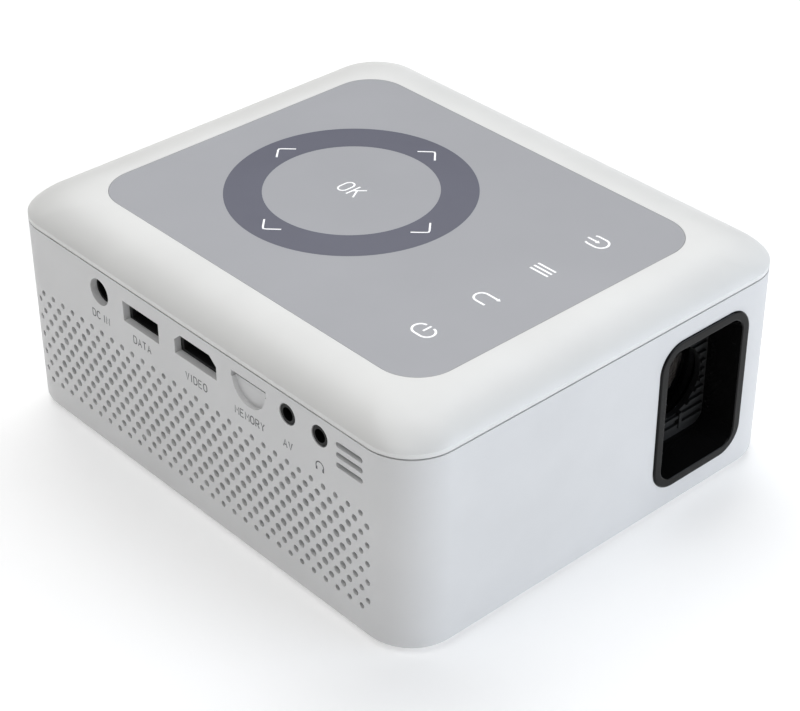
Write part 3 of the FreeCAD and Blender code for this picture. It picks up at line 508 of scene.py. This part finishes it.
def pressed(name, lines, width, place, material):
    """Sweeps 2D lines as pen strokes, flattens them, and puts them on a face by a matrix."""
    curve = bpy.data.curves.new(name, "CURVE")
    curve.dimensions = "3D"
    curve.bevel_depth = width / 2
    curve.bevel_resolution = 3
    curve.use_fill_caps = True
    for line in lines:
        spline = curve.splines.new("POLY")
        spline.points.add(len(line) - 1)
        for point, (u, v) in zip(spline.points, line):
            point.co = (u, v, 0, 1)
    draft = bpy.data.objects.new(name + "_draft", curve)
    bpy.context.scene.collection.objects.link(draft)
    depsgraph = bpy.context.evaluated_depsgraph_get()
    mesh = bpy.data.meshes.new_from_object(draft.evaluated_get(depsgraph))
    bpy.data.objects.remove(draft)
    mesh.transform(Matrix.Diagonal((1, 1, INK_RISE / (width / 2), 1)))
    mesh.transform(place)
    return finished(name, mesh, material, "casing")


PANEL_FACE = Matrix.Translation((0, 0, TOP))
PAD_MIDDLE = Vector((0.0, 15.6)) * MM
PAD_OUTER, PAD_INNER = 33.4 * MM, 23.3 * MM


def scaled(lines, at=(0, 0), size=MM):
    return [[(at[0] * MM + u * size, at[1] * MM + v * size) for u, v in line] for line in lines]


def circle_ring(radius, level, steps=160):
    return [Vector((PAD_MIDDLE.x + radius * math.cos(2 * math.pi * i / steps),
                    PAD_MIDDLE.y + radius * math.sin(2 * math.pi * i / steps), level)) for i in range(steps)]


low_ink, high_ink = TOP - INK_RISE, TOP + 0.6 * INK_RISE
pad_rings = [circle_ring(PAD_INNER, low_ink), circle_ring(PAD_OUTER, low_ink),
             circle_ring(PAD_OUTER, high_ink), circle_ring(PAD_INNER, high_ink)]
finished("navigation_ring_print", bridged("pad", pad_rings, True), ring_ink, "casing")

chevrons = []
for quarter in range(4):
    turn = Matrix.Rotation(math.pi / 2 * quarter, 2)
    arrow = [(26.5, -3.4), (29.2, -0.65), (29.62, 0), (29.2, 0.65), (26.5, 3.4)]
    chevrons.append([tuple(turn @ Vector(point)) for point in arrow])
pressed("chevron_prints", scaled(chevrons, (0, 15.6)), 0.5 * MM,
        Matrix.Translation((0, 0, TOP + 0.6 * INK_RISE)), white_ink_painted_glow)

# %% Icons in front of the navigation ring
standby = [oval((0, 1.1), (2.35, 2.35), 5, 180) + oval((0, -1.1), (2.35, 2.35), 180, 355),
           [(-0.3, 0), (2.7, 0)]]
back_arrow = [[(-2.15, -1.9)] + oval((0, 1.3), (2.15, 2.15), 180, 0) + [(2.15, -2.6)],
              [(1.75, -2.5), (2.15, -3.2), (2.55, -2.5), (1.75, -2.5), (2.55, -2.7)]]
menu = [[(x, -3.3), (x, 3.3)] for x in (-1.55, 0, 1.55)]
source = [[(-2.1, 2.6), (-2.4, 1.6)] + oval((0, -1.0), (2.4, 2.4), 180, 360) + [(2.4, 1.6), (2.1, 2.6)],
          [(0, 3.6), (0, 0.4)], [(-0.45, 0.3), (0, -0.5), (0.45, 0.3), (-0.45, 0.3), (0.3, 0.1)]]
ICON_ROW = -46.1
ICONS = (((-31.4, ICON_ROW), standby), ((-11.3, ICON_ROW), back_arrow),
         ((8.4, ICON_ROW), menu), ((27.8, ICON_ROW), source))
icon_lines = [line for at, lines in ICONS for line in scaled(lines, at, 0.92 * MM)]
pressed("icon_prints", icon_lines, 0.6 * MM, PANEL_FACE, white_ink_painted_glow)

# %% [markdown]
# The few words are drawn from a small stroke alphabet: each letter is one or more pen lines
# in a cell 0.6 wide and 1 high. The words are plain ones that say what each socket is for.

# %% Stroke alphabet
LETTERS = {
    "A": [[(0, 0), (0.3, 1), (0.6, 0)], [(0.1, 0.33), (0.5, 0.33)]],
    "C": [oval((0.3, 0.7), (0.3, 0.3), 25, 180) + oval((0.3, 0.3), (0.3, 0.3), 180, 335)],
    "D": [[(0, 0), (0, 1), (0.25, 1)] + oval((0.25, 0.65), (0.35, 0.35), 90, 0)
          + oval((0.25, 0.35), (0.35, 0.35), 0, -90) + [(0, 0)]],
    "E": [[(0.55, 1), (0, 1), (0, 0), (0.55, 0)], [(0, 0.52), (0.48, 0.52)]],
    "I": [[(0.3, 0), (0.3, 1)]],
    "K": [[(0, 0), (0, 1)], [(0.58, 1), (0, 0.42)], [(0.2, 0.62), (0.6, 0)]],
    "M": [[(0, 0), (0, 1), (0.32, 0.4), (0.64, 1), (0.64, 0)]],
    "N": [[(0, 0), (0, 1), (0.58, 0), (0.58, 1)]],
    "O": [oval((0.3, 0.7), (0.3, 0.3), 0, 180) + oval((0.3, 0.3), (0.3, 0.3), 180, 360) + [(0.6, 0.7)]],
    "R": [[(0, 0), (0, 1), (0.3, 1)] + oval((0.3, 0.74), (0.26, 0.26), 90, -90) + [(0, 0.48)],
          [(0.3, 0.48), (0.58, 0)]],
    "T": [[(0, 1), (0.6, 1)], [(0.3, 1), (0.3, 0)]],
    "V": [[(0, 1), (0.3, 0), (0.6, 1)]],
    "Y": [[(0, 1), (0.3, 0.5), (0.6, 1)], [(0.3, 0.5), (0.3, 0)]],
}


def word_lines(word, cap, advance, middle, narrow=1.0):
    """Pen lines of a word, centred on a point, in the face's own directions; narrow condenses it."""
    steps = {" ": 0.45, "I": 0.6}
    widths = [advance * steps.get(letter, 1) for letter in word]
    cursor = middle[0] - sum(widths) / 2
    lines = []
    for letter, width in zip(word, widths):
        left = cursor + (width - 0.6 * cap * narrow) / 2
        for line in LETTERS.get(letter, []):
            lines.append([(left + u * cap * narrow, middle[1] + (v - 0.5) * cap) for u, v in line])
        cursor += width
    return lines


# The word in the middle of the ring reads towards the lens, with its letters' tops to +X.
ok_place = Matrix(((0, 1, 0, 0), (-1, 0, 0, 0), (0, 0, 1, TOP), (0, 0, 0, 1)))
ok_lines = word_lines("OK", 5.0 * MM, 4.1 * MM, (-15.6 * MM, 0), 0.9)
pressed("ok_print", ok_lines, 0.5 * MM, ok_place, white_ink_painted_glow)

# Socket words stand on the -X side: their right is -Y, their up is +Z.
side_place = Matrix(((0, 0, -1, -HALF_X), (-1, 0, 0, 0), (0, 1, 0, 0), (0, 0, 0, 1)))
LABEL_HEIGHT = 43.1
WORDS = (("DC IN", 38.1), ("DATA", 20.6), ("VIDEO", -1.5), ("MEMORY", -22.2), ("AV", -36.4))
label_lines = []
for word, along in WORDS:
    label_lines += word_lines(word, 2.15 * MM, 1.95 * MM, (-along * MM, LABEL_HEIGHT * MM))
phones = [oval((0, 0), (1.35, 1.3), -20, 200)]
phones += [[(x, -0.3), (x, -1.25)] for x in (-1.3, -1.05, 1.05, 1.3)]
label_lines += scaled(phones, (47.9, LABEL_HEIGHT))
pressed("socket_label_prints", label_lines, 0.34 * MM, side_place, label_ink)

# %% [markdown]
# The remaining parts keep the frame's own meshes. Each gets the finish of what it is made of.

# %% Finishes for the frame's parts
FINISHES = {
    panel_grey: ["touch_panel"],
    baffle_black: ["lens_baffle", "speaker_cone"],
    black_matte: ["lens_barrel", "lens_holder", "optical_housing", "focus_ring", "wheel_bracket",
                  "exhaust_fan_frame", "exhaust_fan_rotor", "blower_housing", "blower_rotor", "speaker_frame",
                  "lcd_frame", "data_socket", "video_socket", "main_chip", "ir_receiver"],
    black_gloss: ["dc_jack", "av_jack", "phones_jack"],
    wheel_grey: ["focus_wheel"],
    sensor_dark: ["ir_window"],
    coated_glass: ["front_lens", "rear_lens", "condenser_lens"],
    plain_glass: ["fresnel_front", "fresnel_rear", "heat_glass"],
    polariser: ["lcd_panel"],
    steel: ["wheel_pin", "case_screws", "board_screws", "engine_screws", "fan_screws", "speaker_magnet",
            "card_socket", "tilt_foot_stem"],
    aluminium: ["heatsink", "chip_heatsink", "reflector", "led_board", "capacitors"],
    brass: ["tripod_insert", "tilt_foot_nut"],
    mask_green: ["main_board", "touch_board"],
    phosphor: ["led_chip"],
    plug_white: ["board_connectors"],
    rubber: ["rubber_feet", "tilt_foot_pad"],
    cloth: ["speaker_cloth"],
    ribbon: ["panel_flat_cable", "lcd_flat_cable", "fan_leads"],
}
for material, names in FINISHES.items():
    for name in names:
        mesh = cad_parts[name].data
        mesh.materials.clear()
        mesh.materials.append(material)
print("finished", sum(len(names) for names in FINISHES.values()), "frame parts")

# %% [markdown]
# A white sweep under the projector, as in a catalogue. It isn't part of the object. It lies a
# hair below the feet, so that their soles and the paper don't share a plane.

# %% Floor
floor_mesh = bpy.data.meshes.new("floor")
SWEEP = 6.0
BELOW = -0.05 * MM
corners = ((-SWEEP, -SWEEP), (SWEEP, -SWEEP), (SWEEP, SWEEP), (-SWEEP, SWEEP))
floor_mesh.from_pydata([(x, y, BELOW) for x, y in corners], [], [(0, 1, 2, 3)])
floor = bpy.data.objects.new("floor", floor_mesh)
bpy.context.scene.collection.objects.link(floor)
paper, paper_shader = surface("backlit_white_paper", Roughness=0.9, Specular_IOR_Level=0.1,
                              Emission_Color=(1.0, 1.0, 1.0, 1.0), Emission_Strength=0.27)
vary_color(paper, paper_shader, "#F8F8F8", "#FBFBFB", 300)
floor_mesh.materials.append(paper)
